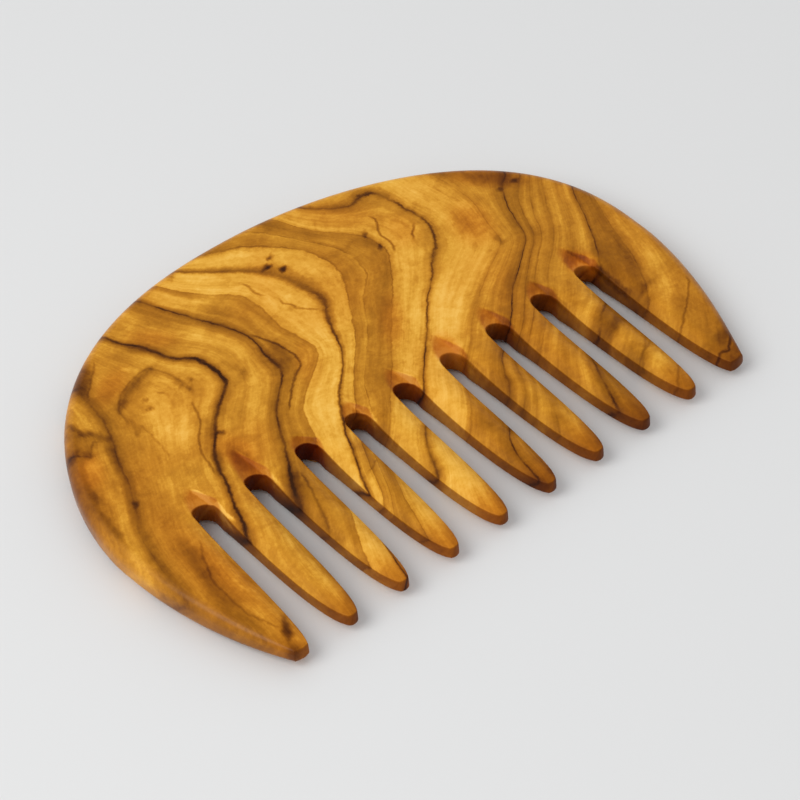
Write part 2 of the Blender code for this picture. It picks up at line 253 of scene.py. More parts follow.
def filed_notches(x, y):
    """Half the thickness left by the notch filed at each slot's end.

    Its axis runs from the notch's top down to the slot's right-hand wall and on along it, and its
    depth grows in a straight line to the slot's end and dies away below as a bell. Across the axis
    it rises as a wide parabola on the left and as a steep straight side on the right.
    """
    lowest = np.full_like(x, THICKNESS)
    for slot, (top, lead) in enumerate(zip(NOTCH_TOPS, NOTCH_LEADS)):
        beyond = y - slot_end(slot)
        share = np.clip(-beyond, 0.0, None) / (slot_end(slot) - TIP_LINE)
        wall = tooth_centre(slot + 1) - tooth_half_width(share, slot + 1 == LAST_TOOTH)
        up = np.clip(beyond / lead, 0.0, None)
        off = x - (wall + (slot_middle(slot) + top - wall) * up)
        depth = np.where(beyond > 0.0, 1.0 - up, np.exp(-(beyond / NOTCH_RUN) ** 2))
        rise = np.where(off < 0.0, off ** 2 / (2 * NOTCH_RADIUS), NOTCH_SIDE_SLOPE * off)
        notch = HALF_THICKNESS - NOTCH_DEPTH * depth + rise
        lowest = np.minimum(lowest, np.where(off > -PITCH / 2, notch, THICKNESS))
    return lowest


def lower_of(first, second, blend):
    """The lower of two heights, with a small parabolic blend where they meet."""
    overlap = np.clip(blend - np.abs(first - second), 0.0, None)
    return np.minimum(first, second) - overlap ** 2 / (4 * blend)


def half_thickness(x, y):
    """Half the thickness of the finished board: the sanded surface, less the filed notches."""
    return lower_of(sanded_surface(x, y), filed_notches(x, y), NOTCH_BLEND)


def vertex_numbers():
    """Numbers of the face's vertices, and their count: one grid for the back and one for each
    tooth, whose roots are shared."""
    columns = LAST_TOOTH * PITCH_COLUMNS + ROOT_COLUMNS + 1
    levels = len(FLANK_UP) + len(BACK_UP) - 1
    back = np.arange(levels * columns).reshape(levels, columns)
    count = back.size
    rows = len(TOOTH_ALONG) - 1
    teeth = []
    for tooth in range(TOOTH_COUNT):
        root = back[0, tooth * PITCH_COLUMNS:][:ROOT_COLUMNS + 1]
        own = np.arange(count, count + rows * root.size).reshape(rows, root.size)
        count += own.size
        teeth.append(np.vstack([own, root]))
    return back, teeth, count


def slot_end_row(slot):
    """The round end of a slot from its left wall to its right: half a superellipse on the two
    corners."""
    turns = SLOT_ARCH * math.pi
    across = -np.sign(np.cos(turns)) * np.abs(np.cos(turns)) ** (2 / SLOT_ARCH_ROUNDNESS)
    up = np.sin(turns).clip(0.0) ** (2 / SLOT_ARCH_ROUNDNESS)
    x = slot_middle(slot) + SLOT_WIDTH / 2 * across
    height = SLOT_CORNER_DROP + SLOT_ARCH_RISES[slot]
    return np.stack([x, slot_corner(slot) + height * up], axis=-1)


def tooth_wall(tooth, side):
    """One wall of a tooth from tip to root, where the round end of the slot begins."""
    foot = TIP_LINE + TIP_NOSE
    y = foot + (slot_corner(slot_beside(tooth, side)) - foot) * TOOTH_ALONG
    return np.stack([tooth_flank(tooth, side, y), y], axis=-1)


def straight_row(first, last, shares):
    """Points on the straight line from the first to the last, at shares of the way along it."""
    return first + (last - first) * shares[:, None]


def across_tooth(tooth, row):
    """Points straight across a tooth, between the row of that number on its two walls."""
    left, right = [tooth_wall(tooth, side)[row] for side in (-1, 1)]
    return straight_row(left, right, TOOTH_ACROSS)


def tooth_tip(tooth):
    """The blunt end of a tooth from left to right: a shallow parabola down to the tip line."""
    y = TIP_LINE + TIP_NOSE * (2 * TOOTH_ACROSS - 1.0) ** 2
    return np.stack([across_tooth(tooth, 0)[:, 0], y], axis=-1)


def root_row():
    """The lowest row of the back's grid, from left to right: straight along each tooth's root,
    and round each slot's end."""
    row = []
    for tooth in range(TOOTH_COUNT):
        row.append(across_tooth(tooth, -1))
        if tooth < LAST_TOOTH:
            row.append(slot_end_row(tooth)[1:-1])
    return np.concatenate(row)


def back_row():
    """The back from the right flank to the left, one point for each column of the grid."""
    columns = root_row()[:, 0] / HALF_LENGTH
    return back_curve(np.clip(columns / abs(columns[0]), -1.0, 1.0))[::-1]


def flank_column(side):
    """The short stretch of flank between the root row and the widest line, from the bottom up."""
    foot = tooth_wall(0 if side < 0 else LAST_TOOTH, side)[-1, 1]
    y = foot + (WIDEST_LINE - foot) * FLANK_UP
    return np.stack([side * flank_x(y), y], axis=-1)


def walk_round(back, teeth):
    """The comb's edge as one closed walk, anticlockwise from the left end tooth: each vertex, its
    place and its kind, which is 1 on the outer edge and 0 along the slots."""
    numbers, places, kinds = [], [], []

    def add(run, points, kind):
        """Takes the walk on along a run of vertices."""
        numbers.extend(run)
        places.extend(points)
        kinds.extend([kind] * len(run))

    for tooth in range(TOOTH_COUNT):
        own = teeth[tooth]
        if tooth > 0:
            add(own[:0:-1, 0], tooth_wall(tooth, -1)[:0:-1], 0.0)
        add(own[0], tooth_tip(tooth), 0.0)
        if tooth < LAST_TOOTH:
            add(own[1:-1, -1], tooth_wall(tooth, 1)[1:-1], 0.0)
            slot_columns = back[0, tooth * PITCH_COLUMNS:][ROOT_COLUMNS:PITCH_COLUMNS]
            add(slot_columns, slot_end_row(tooth)[:-1], 0.0)
    add(teeth[-1][1:, -1], tooth_wall(LAST_TOOTH, 1)[1:], 1.0)
    widest = len(FLANK_UP) - 1
    add(back[1:widest, -1], flank_column(1)[1:-1], 1.0)
    add(back[-1, ::-1], back_row(), 1.0)
    add(back[widest - 1:0:-1, 0], flank_column(-1)[-2:0:-1], 1.0)
    add(teeth[0][:0:-1, 0], tooth_wall(0, -1)[:0:-1], 1.0)
    return np.array(numbers), np.array(places), np.array(kinds)


def soften_round(values, reach):
    """A closed row of values, each the mean of itself and its neighbours within reach."""
    return np.mean([np.roll(values, step) for step in range(-reach, reach + 1)], axis=0)


def outward(places):
    """Unit outward directions along the closed walk: each one square to the line between its
    neighbours."""
    along = np.roll(places, -1, axis=0) - np.roll(places, 1, axis=0)
    square = np.stack([along[:, 1], -along[:, 0]], axis=-1)
    return square / np.linalg.norm(square, axis=1, keepdims=True)


def fill_patch(bottom, top, left, right, across, up):
    """Coons patch: the blend of both pairs of opposite edges, less the blend of the corners."""
    u, v = across[None, :, None], up[:, None, None]
    rows = (1 - v) * bottom[None] + v * top[None]
    columns = (1 - u) * left[:, None] + u * right[:, None]
    corners = ((1 - v) * ((1 - u) * bottom[0] + u * bottom[-1])
               + v * ((1 - u) * top[0] + u * top[-1]))
    return rows + columns - corners


def face_plan(back, teeth, count, numbers, rim):
    """Plan positions of all the face's vertices: the inset rim, and patches filled in between.

    The back has two patches, which meet on a straight line between its two widest points.
    """
    plan = np.zeros((count, 2))
    plan[numbers] = rim
    for own in teeth:
        plan[own[-1]] = straight_row(*plan[own[-1, [0, -1]]], TOOTH_ACROSS)
        plan[own[1:-1, 1:-1]] = fill_patch(
            plan[own[0]], plan[own[-1]], plan[own[:, 0]], plan[own[:, -1]],
            TOOTH_ACROSS, TOOTH_ALONG)[1:-1, 1:-1]
    root = plan[back[0], 0]
    across = (root - root[0]) / (root[-1] - root[0])
    widest = len(FLANK_UP) - 1
    plan[back[widest]] = straight_row(*plan[back[-1, [0, -1]]], across)
    plan[back[1:widest, 1:-1]] = fill_patch(
        plan[back[0]], plan[back[widest]], plan[back[:widest + 1, 0]], plan[back[:widest + 1, -1]],
        across, FLANK_UP)[1:-1, 1:-1]
    up = BACK_UP[:, None, None]
    plan[back[widest:]] = (1 - up) * plan[back[widest]][None] + up * plan[back[-1]][None]
    return plan


def edge_rows(kinds, inset, drop, height):
    """Inset and fall of each row down the edge, from the face to just above mid-thickness.

    An outer edge is a quarter ellipse over all the steps. An arris is one over its own few steps,
    and then the wall goes straight down. The kind, from 0 to 1, blends the two.
    """
    rows = []
    for step in range(1, EDGE_STEPS + 1):
        turn = step / EDGE_STEPS * math.pi / 2
        arris_turn = min(step / ARRIS_STEPS, 1.0) * math.pi / 2
        down_wall = max(0.0, (step - ARRIS_STEPS) / (EDGE_STEPS - ARRIS_STEPS + MIDDLE_GAP_STEPS))
        outer_in, outer_down = inset * (1.0 - math.sin(turn)), drop * (1.0 - math.cos(turn))
        arris_in = inset * (1.0 - math.sin(arris_turn))
        arris_down = drop * (1.0 - math.cos(arris_turn)) + (height - drop) * down_wall
        rows.append((kinds * outer_in + (1 - kinds) * arris_in,
                     kinds * outer_down + (1 - kinds) * arris_down))
    return rows


def grid_quads(grid):
    """Quads between the neighbouring numbers of a grid, which face up when its columns run +X and
    its rows run +Y."""
    corners = [grid[:-1, :-1], grid[:-1, 1:], grid[1:, 1:], grid[1:, :-1]]
    return np.stack(corners, axis=-1).reshape(-1, 4)


def slot_end_lean(points):
    """How far each point is pushed back by the lean of the wall at a slot's end.

    Across the slot it is a parabola. It grows in a straight line from the upper face down, and dies
    away as a bell beyond the slot's end.
    """
    push = np.zeros(len(points))
    for slot in range(LAST_SLOT + 1):
        off = (points[:, 0] - slot_middle(slot)) / (SLOT_WIDTH / 2)
        beyond = (points[:, 1] - slot_end(slot)) / SLOT_LEAN_REACH
        fade = np.where(beyond > 0.0, np.exp(-beyond ** 2), 1.0)
        push += np.clip(1.0 - off ** 2, 0.0, None) * fade
    return SLOT_LEAN * push * (1.0 - points[:, 2] / THICKNESS)


def soak_and_shade_at(points):
    """How much a wall is darkened at each point, partly for the oil its end grain soaks up and
    partly as painted shade in the slots: the nearest slot's own share at the slot line, which turns
    to the common share below it as a bell."""
    slot = np.clip(np.rint(points[:, 0] / PITCH + LAST_SLOT / 2), 0, LAST_SLOT).astype(int)
    below = np.clip(SLOT_LINE - points[:, 1], 0.0, None)
    near_end = np.exp(-(below / SOAK_AND_SHADE_REACH) ** 2)
    return WALL_SOAK_AND_SHADE + (np.array(SLOT_SOAK_AND_SHADES)[slot] - WALL_SOAK_AND_SHADE) * near_end


def comb_surface():
    """The whole comb as one closed surface: its points and quads, and three readings at each point.

    The faces mirror each other about mid-thickness, and rows of quads down the edge join them.
    The readings are how far the filed notch cuts below the sanded board, how much a wall is
    darkened, partly for soaked-up oil and partly as painted shade, and how far the point is on the
    outer edge.
    """
    back, teeth, count = vertex_numbers()
    numbers, places, kinds = walk_round(back, teeth)
    kinds = soften_round(kinds, TURN_TO_ARRIS_STEPS)
    normals = outward(places)
    fullness = half_thickness(places[:, 0], places[:, 1]) / HALF_THICKNESS
    tip_share = (TIP_LINE + TIP_ROUNDING_REACH - places[:, 1]) / TIP_ROUNDING_REACH
    near_tip = np.clip(tip_share, 0.0, 1.0) * (1 - kinds)
    inset = (ARRIS_INSET + (EDGE_INSET - ARRIS_INSET) * kinds) * fullness
    drop = (ARRIS_DROP + (EDGE_DROP - ARRIS_DROP) * kinds) * fullness + TIP_EXTRA_DROP * near_tip
    plan = face_plan(back, teeth, count, numbers, places - normals * inset[:, None])
    height = half_thickness(plan[:, 0], plan[:, 1])
    filed = sanded_surface(plan[:, 0], plan[:, 1]) - filed_notches(plan[:, 0], plan[:, 1])

    upper = np.column_stack([plan, HALF_THICKNESS + height])
    lower = np.column_stack([plan, HALF_THICKNESS - height])
    rim_height = height[numbers]
    rim = [np.column_stack([places - normals * inward[:, None], HALF_THICKNESS + rim_height - down])
           for inward, down in edge_rows(kinds, inset, drop, rim_height)]
    rim += [np.column_stack([row[:, :2], THICKNESS - row[:, 2]]) for row in rim[::-1]]
    points = np.concatenate([upper, lower] + rim)
    points[:, 1] += slot_end_lean(points)
    points[:, 0] -= tooth_lean(points[:, 1])
    points[:, :2] -= (points[:, :2].min(axis=0) + points[:, :2].max(axis=0)) / 2

    on_faces = np.zeros(2 * count)
    steps = range(1, EDGE_STEPS + 1)
    on_wall = [(1 - kinds) * min(1.0, (step + 1) / ARRIS_STEPS) for step in steps]
    # Darkening of the walls: partly oil in the end grain, partly painted shade in the slots
    soak_and_shade = np.concatenate([on_faces] + on_wall + on_wall[::-1]) * soak_and_shade_at(points)
    burnish = np.concatenate([on_faces] + [kinds] * len(rim))
    filed = np.concatenate([filed, filed] + [filed[numbers]] * len(rim))

    loop = len(numbers)
    strips = [numbers] + [2 * count + step * loop + np.arange(loop) for step in range(len(rim))]
    strips.append(numbers + count)
    strips = np.array([np.append(row, row[0]) for row in strips])[::-1]
    face = np.concatenate([grid_quads(back)] + [grid_quads(own) for own in teeth])
    quads = np.concatenate([face, face[:, ::-1] + count, grid_quads(strips)])
    return points, quads, filed, soak_and_shade, burnish


points, quads, filed, soak_and_shade, burnish = comb_surface()


# Growth rings of the board, as their veins cross its upper face: each ring's level, which counts
# the millimetres across the slot line, and the places in millimetres that its veins pass through.
# One side vein is a crack too, so the places that both pass through stand first.
SIDE_VEIN_MM = ((-11.5, 16.5), (-11, 14), (-10.7, 11.5), (-10.9, 9.3), (-12, 7.5), (-14, 6.3),
                (-16, 4.8), (-18, 3), (-20, 0.8), (-22, -1.4))
RINGS_MM = (
    (-66.5, ((-51, 37), (-51.5, 30), (-52, 25), (-53, 21), (-54.5, 17), (-57, 11.5), (-58, 8),
             (-59, 5), (-60, 2.5), (-61.5, 0), (-63, -4), (-65, -6.5), (-66, -10), (-67, -14),
             (-68, -19), (-68.5, -27), (-69, -33), (-67, -40))),
    (-45.3, ((-37.5, 45.5), (-37, 43), (-36, 40.5), (-33.5, 37), (-32.5, 35), (-32, 33),
             (-31.5, 31), (-30.5, 28.5), (-29, 27), (-27.5, 26.2), (-26.2, 25), (-26.2, 22.5),
             (-26, 21), (-25.7, 20), (-25.7, 18.5), (-26, 17), (-26.3, 15.5), (-27, 14),
             (-28.5, 12.5), (-31, 11), (-33, 9), (-35, 7), (-37, 4.5), (-39, 2), (-40.5, 0),
             (-42, -2.5), (-43, -5), (-44.5, -10), (-45.5, -12.5), (-47, -15.5), (-48.3, -20.6),
             (-50, -24.3), (-52.5, -29))),
    (-31, ((-26, 50.5), (-25, 49.5), (-24, 46), (-23, 43.5), (-22, 41), (-20.5, 38.5),
           (-19.5, 35.5), (-18, 32.5), (-16.5, 29.5), (-15.5, 27), (-14.8, 24), (-14.2, 22),
           (-14, 20.5), (-14.8, 18), (-15.5, 16), (-15.3, 13), (-15.5, 10), (-16, 8.5), (-18, 6.5),
           (-20, 4.5), (-22, 2.5), (-24, 0.5), (-26, -3), (-27.5, -6), (-29, -9), (-30, -11),
           (-31.5, -13.5), (-33.6, -17), (-35.4, -20.5), (-37, -24.5), (-39, -29))),
    (-27.5, ((-12.7, 20), (-12.2, 18), *SIDE_VEIN_MM)),
    (-23, ((-7.5, 34.5), (-7, 30), (-7, 25), (-7.6, 22), (-7, 17), (-6.3, 13), (-6, 10), (-7, 7.5),
           (-9, 6), (-12, 3.6), (-16, 0.6), (-20, -3.5))),
    (-15.8, ((-14, 52), (-12, 49.5), (-9, 46.5), (-7, 44.5), (-4, 42), (-2, 40), (0, 37.5),
             (1.5, 35), (2.5, 32.5), (3.5, 29.5), (4.2, 26), (4.5, 23), (4.5, 20.5), (4, 18.5),
             (2.5, 17.5), (1.5, 15.5), (0.5, 13), (-0.5, 10.5), (-1.5, 8), (-2.5, 5.5), (-4, 3),
             (-6, 0.5), (-8, -1.5), (-10.5, -4), (-12.5, -6.5), (-14, -9), (-15.5, -11.5),
             (-17, -14), (-18.5, -17.5), (-20, -21), (-22, -25), (-23.5, -29), (-24.5, -33))),
    (-12, ((-6, 51.5), (-1, 49), (3, 46.5), (6.5, 43), (10, 39), (12, 35.5), (12.8, 32), (13, 29))),
    (-12, ((10, 19.5), (7.5, 15), (5, 11), (3, 7.5), (0.5, 4), (-2, 1.5), (-5, -2), (-8, -6),
           (-11, -10), (-13, -14))),
    (-8.5, ((17.5, 24), (17.3, 20.5), (14, 18), (11, 15), (7, 8.5), (4, 4.5), (1, 1), (-2, -2),
            (-6, -6.5))),
    (-3, ((13, 50), (14.5, 46), (15.5, 43.5), (17, 40.5), (19, 37.5), (21.5, 35), (24, 31.5),
          (25, 26), (25, 23.5), (22, 18.5), (18, 13), (15, 9.5), (12, 6), (9, 2.5), (7, 0), (4, -4),
          (2, -6.5), (-3, -12), (-8, -18), (-12, -22), (-17, -30), (-20, -37), (-22, -45))),
    (6.2, ((20, 48), (22, 46), (24.5, 43.5), (27.5, 41.5), (30, 40.5), (30.5, 42), (31.5, 42.8),
           (33.5, 42.5), (35, 41), (36, 38), (36.5, 34), (36.8, 30), (37.2, 27), (37.3, 24.5),
           (36.5, 22), (35, 20), (34.5, 18), (33, 16.5), (31, 15), (29, 13), (27, 10.5), (24, 7.5),
           (21, 5), (18.5, 2), (16, -1), (14, -3.5), (11.5, -6), (9, -8.5), (7, -11), (5, -13),
           (3.5, -15), (-3.5, -24), (-6, -27), (-9, -32), (-10, -36))),
    (19, ((48.5, 38), (49, 33), (49.3, 28), (49.3, 24), (48.5, 20), (47, 16), (46, 12), (45.5, 9),
          (44.5, 7.2), (42, 6), (38, 3.5), (34, 1), (30, -2), (26, -5), (22, -8.5), (19, -12))),
    (30.7, ((61, 25), (57, 22), (55, 18.5), (53.5, 16), (52.5, 13), (51.5, 10), (50.5, 7.5),
            (50, 5.5), (49, 4.2), (47, 3), (45, 1), (43, -0.5), (40, -3), (37, -5), (34.5, -7.5),
            (32, -10.5), (30.5, -12), (23, -18), (20.5, -20.5), (18, -24), (17, -27), (9.5, -35.5),
            (7, -38.5), (5, -41.5), (4.5, -46), (4.2, -50))),
    (38, ((64.5, 21), (61, 17), (58, 13), (55.5, 9), (54, 5.5), (52, 2.5), (49, 0), (45, -3.5),
          (41, -7.5), (39, -10))),
    (43, ((65, 17), (62, 12), (59.5, 8), (57, 3.5), (54, 0), (51, -3), (46, -7), (43, -11))),
    (56, ((68.5, 11), (66.5, 8), (65.5, 5), (64, 2), (62.5, -1), (61, -4), (59.5, -6.5), (58, -9),
          (56, -12), (53, -17), (48, -23), (44, -25), (42, -28), (36, -31), (33, -37), (31, -42),
          (29, -48))),
    (63.5, ((69.5, 5), (68, 1), (66, -4), (64.5, -9), (63, -14), (61.5, -18), (58, -25),
            (54, -30))),
)
# Stains, some of them painted light and shade (marked below): middle, half-length, half-width, turn
# in degrees and shift of tone
STAINS_AND_PAINTED_LIGHT_MM = (
    (2.1, 37.7, 0.9, 0.8, 0, -0.75), (4.2, 34.9, 1, 0.8, 30, -0.70), (4.6, 40, 0.8, 0.6, 0, -0.45),
    (3, 36.5, 2.6, 1.6, -50, -0.10), (24.5, 31.2, 0.8, 0.6, 80, -0.45),
    (24.4, 25.6, 1, 0.6, 80, -0.40), (23.6, 27, 3.5, 1.6, 85, -0.08),
    (-61.5, -1, 1, 0.8, 90, -0.32), (57, -25, 1.6, 0.7, 50, -0.25), (54, -22, 1.2, 0.6, 50, -0.22),
    (-48.3, 37.2, 5, 1.9, 52, -0.30), (-50.3, 33, 1.8, 0.9, 70, -0.05),
    (-38.5, 37.5, 7, 3, -10, -0.06), (-34.6, 36.3, 2.4, 1.1, -60, -0.12),
    (-29.5, 35.5, 6, 3, -50, -0.05), (-58.1, 25.8, 2.3, 0.7, 95, -0.26),
    (-57, 22.6, 2.2, 0.7, -35, -0.24), (-55.3, 19.5, 2.5, 0.8, -60, -0.20),
    (-63.4, 19, 1.7, 1.1, 20, -0.28), (-60.6, 17.4, 1.3, 1.3, 90, -0.28),
    (-57.6, 19.6, 2.4, 1.6, 30, -0.12), (-60.2, 21.6, 3.2, 1.5, 10, -0.07),
    (-57, 13, 5, 1.1, 75, -0.12), (-66.4, 6.5, 2.6, 1, 90, -0.18), (-68.6, -2, 7, 0.9, 85, -0.16),
    (-62.5, 12.5, 4, 2.6, 60, 0.08), (-64.8, -1, 9, 1.1, 80, 0.06),
    (-46.5, 25, 3.2, 1.1, 40, -0.21), (-42, 27.8, 3.2, 1.2, 22, -0.22),
    (-37.5, 29.2, 2.8, 1.1, 8, -0.21), (-33.6, 22, 5, 0.7, 95, -0.10),
    (-48.4, 18.5, 3.4, 0.6, 88, -0.10), (-43.2, 11.8, 7.5, 4.4, 78, 0.08),
    (-43, 19.7, 0.8, 0.6, 0, -0.26), (-42, 22.5, 0.7, 0.6, 0, -0.18),
    (-31.5, 20.5, 0.8, 0.6, 0, -0.22), (-33, 18.7, 0.7, 0.6, 0, -0.22),
    (-34.6, 20.4, 0.7, 0.5, 0, -0.16), (-49.6, 15.3, 1.2, 0.6, 70, -0.16),
    (-36.2, 3.4, 0.8, 0.7, 0, -0.35), (-39.8, 4, 6, 1.5, 50, -0.10),
    (-41.8, -3, 3.4, 1.1, 60, -0.22), (-26, 44, 7, 2.2, -70, -0.07), (-20.5, 44, 8, 2.6, -64, 0.17),
    (-13, 39, 4.5, 2.2, -10, 0.08), (-10, 30.5, 5, 2.6, 85, -0.02), (-15, 50.8, 1.6, 1, 60, -0.20),
    (-12.6, 13.6, 5, 1.6, 80, -0.18), (-15.2, 13, 4, 0.7, 88, -0.16),
    (-22.9, 14, 2.6, 1.1, 30, -0.10), (-26.2, 40.4, 6, 1.8, -70, -0.07),
    (-29.6, 32, 3, 1.8, -60, -0.07), (-21, 28, 6.5, 1.8, -65, 0.06),
    (-25.8, 19.5, 6, 0.8, 90, -0.10), (-22.5, 18, 4, 0.8, 100, -0.10),
    (-37.6, -5.5, 4.6, 1.8, 92, -0.20), (10.8, 49, 3.5, 1.8, 100, -0.12),
    (24, 40, 12, 5, -50, -0.05), (43.5, 17.5, 7, 3.5, 75, -0.08), (58, 25, 5.5, 2.8, -50, -0.17),
    (53, 32.8, 6.5, 2.4, -52, -0.13), (50, 36, 3, 1.4, -50, -0.06),
    (60.4, 21.6, 0.9, 0.7, 0, -0.34), (56, 21.6, 0.8, 0.6, 0, -0.24),
    (44.8, 8.5, 2.2, 0.8, 85, -0.20), (41, 30.5, 3.5, 2.5, 30, -0.04),
    (-62.3, -25, 10, 1.6, 78, -0.14), (-63, -42, 10, 1.8, 98, -0.14),
    (-58, -47.8, 3.6, 1, 63, -0.45), (-59.8, -53, 2, 1.4, 0, -0.26),
    (-33.5, -17.5, 4.5, 1.4, 62, -0.18), (-19.5, -22, 5.5, 2.2, 68, -0.12),
    (59.5, -47, 3.5, 1.6, 20, -0.15), (0, -55, 90, 7.5, 0, -0.15),
    (44.9, -33.6, 4.2, 3.2, 40, 0.22), (6.5, -31, 6, 2.3, 62, -0.12),
    (59.2, -24.6, 1.4, 0.9, 30, -0.16), (61.8, -14, 7, 1, 75, -0.10), (20, -30, 10, 3, 80, 0.05),
    (21, 0.5, 9, 4.5, 45, 0.09), (44, 27, 8, 3.5, 90, -0.05), (62, -7, 7, 3, 75, 0.04),
    (44.9, -29.2, 3.6, 1.3, 28, -0.20), (44.9, -22.4, 3.8, 2, 25, 0.12),
    (45, -43, 3, 2.2, 40, 0.11), (59.6, -29, 6, 2.2, 42, 0.11), (64.5, -20, 7, 2, 70, 0.09),
    # The two long stains at (41.2, -15) and (54.2, -15.5) are painted shade on the steep right-hand
    # sides of two notches, where the lamp lights them.
    (41.2, -15, 5.5, 0.8, 90, -0.10), (54.2, -15.5, 9, 0.9, 90, -0.14), (-59, 8, 20, 8, 75, -0.02),
    (-58.8, 24, 2.6, 1.4, 115, -0.10), (-61.4, 19.6, 3, 1.2, 165, -0.08),
    (-41, 26.4, 7, 1.7, 22, -0.10), (-61.6, -28, 15, 1.9, 86, -0.08),
    (-58.2, -33, 12, 3.6, 86, -0.05), (-34.2, -20.5, 4.5, 1.9, 62, -0.10),
    # The five stains with no turn at about y -10 mm, from x -51.8 to 52.6 mm, are painted light on
    # the shaded walls at the slots' ends.
    (-51.8, -9.6, 3, 1.6, 0, 0.10), (13.4, -11.4, 3, 2, 0, 0.32), (26.4, -10.4, 2.8, 1.6, 0, 0.12),
    (39.4, -10.4, 2.8, 1.6, 0, 0.12), (52.6, -10.8, 3, 2.2, 0, 0.34),
    (-48.6, 35, 3, 1.8, 60, -0.08), (-43.6, 32, 6, 2.6, 45, -0.05),
    (18.4, 16.7, 3.5, 1.8, 50, -0.06), (13.6, 10, 3.2, 1.6, 50, -0.05),
    (40.5, 16.5, 3.6, 2.6, 60, -0.03), (57.5, -36.5, 5, 1.6, 42, -0.06),
    (57.5, -15, 8, 2.6, 68, -0.05),
)
# Reddish clouds, likewise, with their strength
REDS_MM = (
    (44, 17, 9, 5, 70, 0.9), (-37.5, -3, 7, 3.5, 90, 0.9), (15, -8, 4, 2.5, 80, 0.8),
    (-62, -20, 22, 5, 80, 0.6), (-33, -4, 8, 4, 60, 0.5), (53, -8, 5, 3, 90, 0.5),
    (24, 40, 12, 5, -50, 0.5), (31, 26, 6, 4, 60, 0.6), (-2, 33, 14, 4, 60, 0.4),
    (-45, 31, 6, 3.5, 30, 0.8), (-63, 13, 5, 3, 60, 0.7), (-30, 37, 6, 3, -50, 0.7),
    (13.4, -10.4, 3.5, 3, 0, 1), (52.6, -9.6, 3.5, 3.2, 0, 1), (-58, -32, 14, 4, 86, 0.7),
    (0, -56, 90, 11, 0, 1), (57, 27, 10, 3.5, -50, 0.8), (-66, 10, 16, 6, 75, 0.5),
    (11, 5, 9, 3, 55, 0.7), (-10, 8, 8, 3, 60, 0.5),
)
# Fading of the veins, likewise
FADES_MM = (
    (-4, 41, 14, 5, -45, 0.8), (2, 24, 12, 4, 90, 0.6), (25, 44, 8, 4, -40, 0.7),
    (-7, -29, 8, 4, 60, 0.6), (-52, 30, 9, 3, 90, 0.7), (-64, -30, 30, 6, 90, 0.5),
    (57, 22, 8, 4, -40, 0.7), (20, -30, 12, 5, 90, 0.9), (46, -24, 6, 4, 40, 0.5),
)
